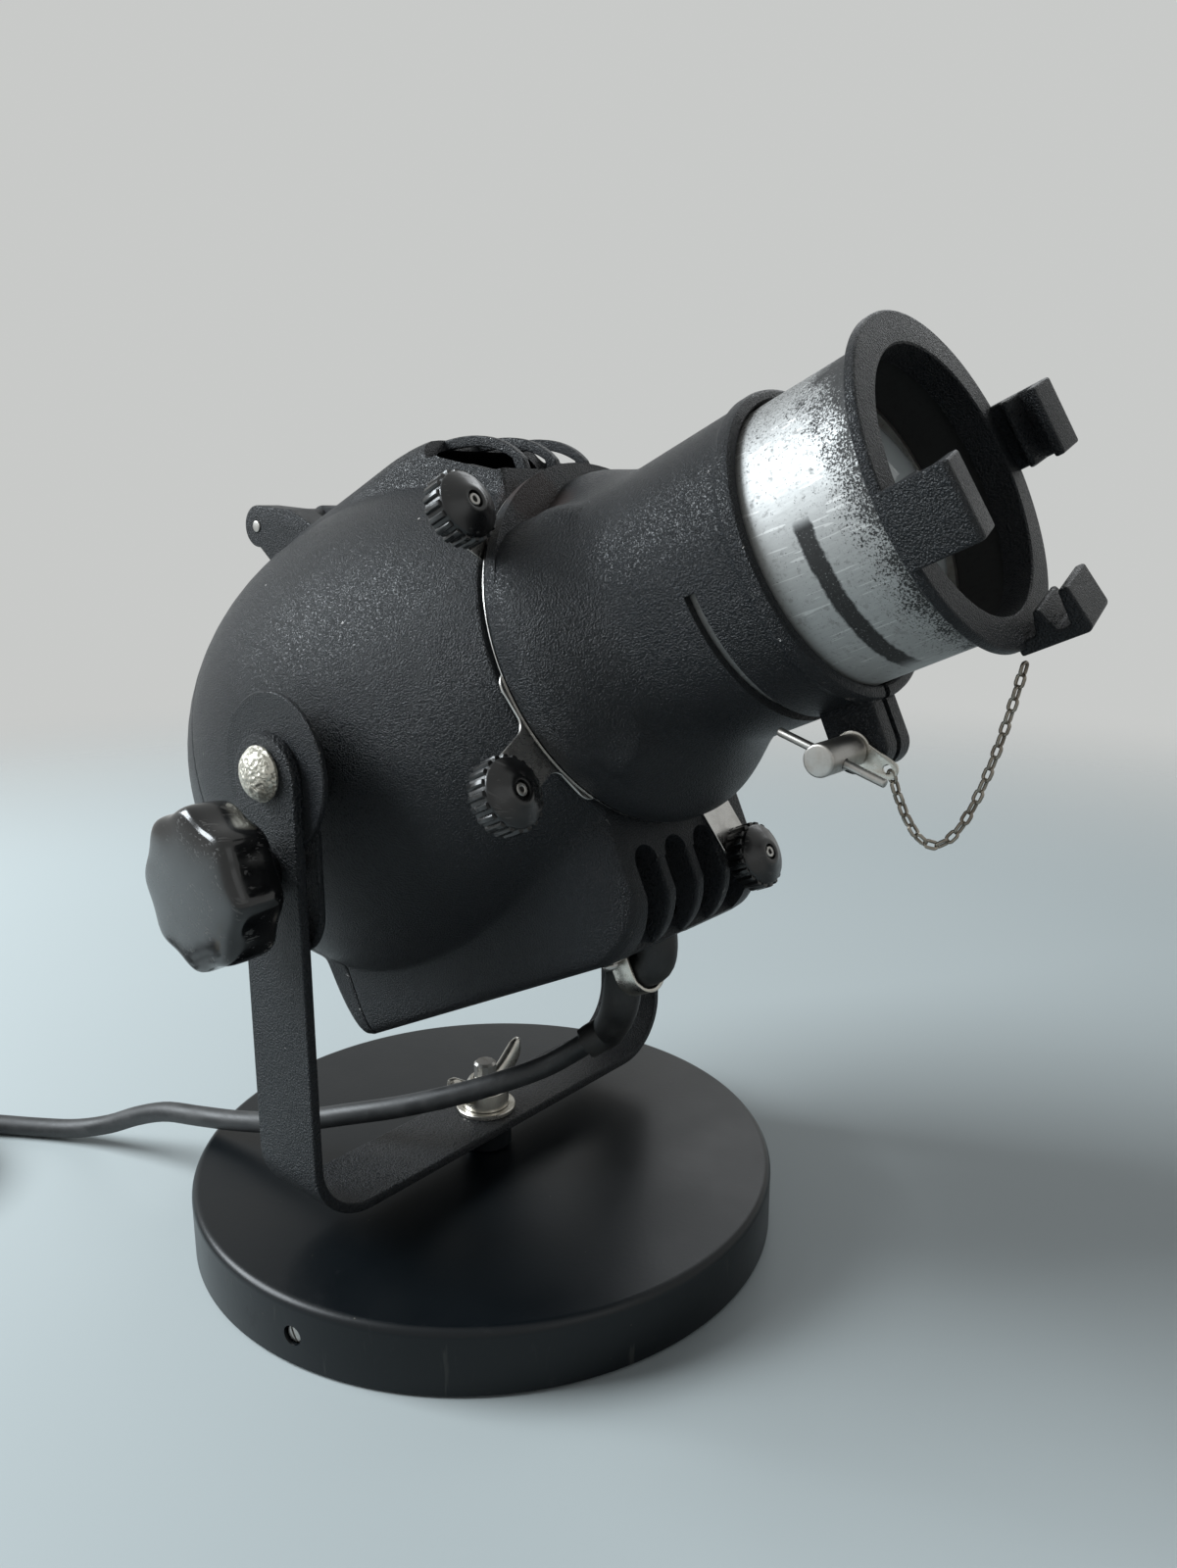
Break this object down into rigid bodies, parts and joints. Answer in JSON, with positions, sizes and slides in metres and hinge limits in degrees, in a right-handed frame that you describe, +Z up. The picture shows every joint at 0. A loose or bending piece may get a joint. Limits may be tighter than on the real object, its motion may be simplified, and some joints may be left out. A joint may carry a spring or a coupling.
{
  "type": "theatre profile spotlight",
  "caption": "Vintage theatre profile spotlight on a round weighted table base, with tilting fork, shutters, focusing lens tube, colour frame holder and mains cable.",
  "frame": {"origin": "centre of the round base's underside, on the pan axis", "axes": "+Z up; +X toward the lens in plan; Y along the tilt axis, with the lock knob on the -Y side"},
  "size_m": [0.5306, 0.4783, 0.3566],
  "materials": {
    "textured_paint": "fine textured black paint, worn at edges",
    "satin_paint": "smooth satin black paint",
    "bakelite": "glossy black bakelite",
    "nickel": "worn nickel plate",
    "steel": "dull steel",
    "aluminium": "worn bare aluminium",
    "cast_iron": "rough casting",
    "rubber": "matte black rubber",
    "glass": "clear glass",
    "ceramic": "off-white ceramic",
    "felt": "black felt",
    "brass": "plain brass"
  },
  "bodies": {
    "base": {"base_cover": "satin_paint", "base_weight": "cast_iron", "foot_pad": "felt", "rim_screw": "steel", "base_bolt": "steel", "fork_spacer": "satin_paint", "bolt_washer": "nickel"},
    "wing_nut": {"wing_nut": "nickel"},
    "fork": {"fork": "textured_paint", "pivot_bolt_near": "nickel", "pivot_bolt_far": "nickel", "clamp_plate": "textured_paint", "knob_stud": "steel", "mains_cable": "rubber", "cable_coil": "rubber", "coil_tie": "felt", "plug_body": "rubber", "plug_pin_earth": "brass", "plug_pin_live": "brass", "plug_pin_neutral": "brass"},
    "lock_knob": {"lock_knob": "bakelite"},
    "head": {"lamp_house": "textured_paint", "front_barrel": "textured_paint", "tilt_disc": "textured_paint", "tilt_washer": "textured_paint", "hinge_pin": "steel", "reflector": "aluminium", "lamp": "glass", "lamp_holder": "ceramic", "lamp_bracket": "steel", "gate_plate": "steel", "chain_tag": "nickel", "safety_chain": "steel", "cable_saddle": "nickel", "saddle_screw_near": "steel", "saddle_screw_far": "steel", "cable_sleeve": "rubber"},
    "rear_cover": {"rear_cover": "textured_paint"},
    "lens_tube": {"lens_tube": "aluminium", "colour_frame_holder": "textured_paint", "lens": "glass", "lens_retainer": "steel", "lens_seat": "steel"},
    "clamp_screw": {"clamp_screw": "steel"},
    "tommy_bar": {"tommy_bar": "steel"},
    "shutter_upper_near": {"shutter_blade_upper_near": "steel", "shutter_knob_upper_near": "bakelite"},
    "shutter_lower_near": {"shutter_blade_lower_near": "steel", "shutter_knob_lower_near": "bakelite"},
    "shutter_lower_far": {"shutter_blade_lower_far": "steel", "shutter_knob_lower_far": "bakelite"},
    "shutter_upper_far": {"shutter_blade_upper_far": "steel", "shutter_knob_upper_far": "bakelite"}
  },
  "joints": [
    {"name": "fork_pan", "type": "hinge", "parent": "base", "child": "fork", "pos_m": [0, 0, 0.03], "axis": [0, 0, 1], "range_deg": [-170, 170]},
    {"name": "wing_nut_turn", "type": "hinge", "parent": "base", "child": "wing_nut", "pos_m": [0, 0, 0.05], "axis": [0, 0, 1], "range_deg": [0, 180]},
    {"name": "lock_knob_turn", "type": "hinge", "parent": "fork", "child": "lock_knob", "pos_m": [0, -0.11, 0.1775], "axis": [0, -1, 0], "range_deg": [-90, 90]},
    {"name": "head_tilt", "type": "hinge", "parent": "fork", "child": "head", "pos_m": [0, 0, 0.2125], "axis": [0, -1, 0], "range_deg": [-45, 40], "deforming": ["mains_cable"]},
    {"name": "rear_cover_hinge", "type": "hinge", "parent": "head", "child": "rear_cover", "pos_m": [-0.11022, 0, 0.29319], "axis": [0, 1, 0], "range_deg": [0, 95]},
    {"name": "focus_slide", "type": "slide", "parent": "head", "child": "lens_tube", "axis": [0.907, 0, 0.421], "range_m": [-0.03, 0.025]},
    {"name": "clamp_screw_turn", "type": "hinge", "parent": "head", "child": "clamp_screw", "pos_m": [0.17318, 0, 0.22894], "axis": [0, -1, 0], "range_deg": [-2, 80]},
    {"name": "tommy_bar_slide", "type": "slide", "parent": "clamp_screw", "child": "tommy_bar", "axis": [0.9558, 0, -0.294], "range_m": [-0.003, 0.003]},
    {"name": "shutter_upper_near_slide", "type": "slide", "parent": "head", "child": "shutter_upper_near", "axis": [-0.265, -0.7771, 0.5708], "range_m": [-0.0005, 0.029]},
    {"name": "shutter_lower_near_slide", "type": "slide", "parent": "head", "child": "shutter_lower_near", "axis": [0.1879, -0.8949, -0.4047], "range_m": [-0.015, 0.0145]},
    {"name": "shutter_lower_far_slide", "type": "slide", "parent": "head", "child": "shutter_lower_far", "axis": [0.4018, 0.299, -0.8655], "range_m": [-0.0115, 0.018]},
    {"name": "shutter_upper_far_slide", "type": "slide", "parent": "head", "child": "shutter_upper_far", "axis": [-0.2592, 0.788, 0.5584], "range_m": [-0.0205, 0.009]}
  ]
}
